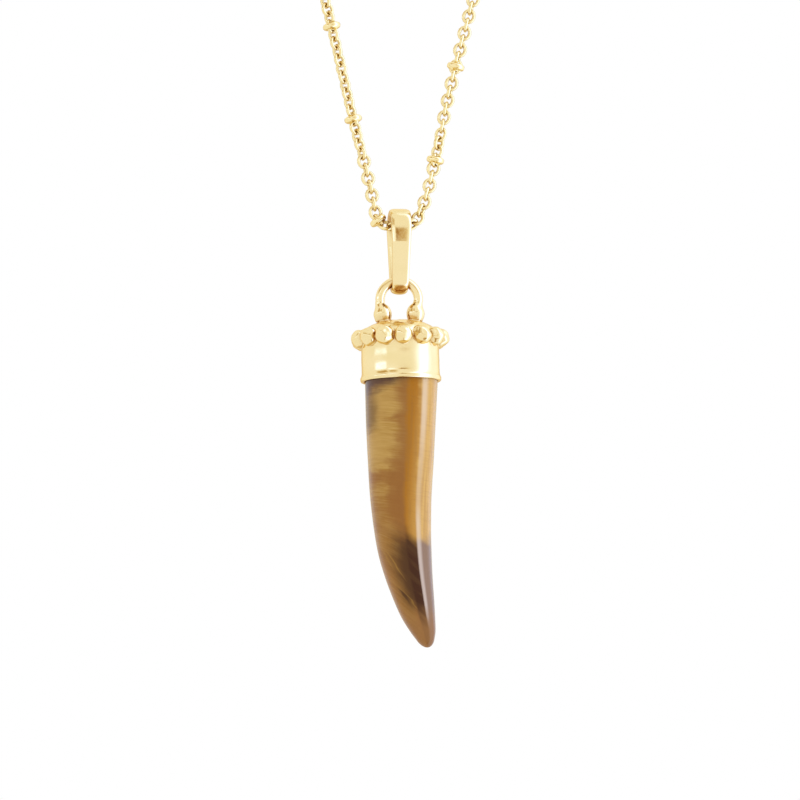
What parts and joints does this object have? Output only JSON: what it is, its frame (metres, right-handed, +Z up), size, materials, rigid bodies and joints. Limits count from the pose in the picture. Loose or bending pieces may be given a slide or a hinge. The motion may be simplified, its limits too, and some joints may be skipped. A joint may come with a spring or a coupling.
{
  "type": "cornicello horn pendant necklace",
  "caption": "Long fine beaded chain with a clasp and a tall bail that carries a curved polished stone horn, set in a domed metal cap with a beaded collar and a wire loop.",
  "frame": {"origin": "middle of the neck opening, at the height of the nape", "axes": "+Z up, the front of the horn faces -Y, +X to the viewer's right"},
  "size_m": [0.1214, 0.1274, 0.302],
  "materials": {
    "gold": "polished gold plate",
    "stone": "polished banded stone with silky fibres"
  },
  "bodies": {
    "necklace": {"chain": "gold", "clasp": "gold"},
    "bail": {"bail": "gold"},
    "drop": {"cap": "gold", "horn": "stone"}
  },
  "joints": [
    {"name": "bail_swing", "type": "hinge", "parent": "necklace", "child": "bail", "pos_m": [0, -0.062, -0.24625], "axis": [0.9903, 0.1392, 0], "range_deg": [-75, 75]},
    {"name": "drop_swing", "type": "hinge", "parent": "bail", "child": "drop", "pos_m": [0, -0.062, -0.25525], "axis": [0, 1, 0], "range_deg": [-60, 60]}
  ]
}
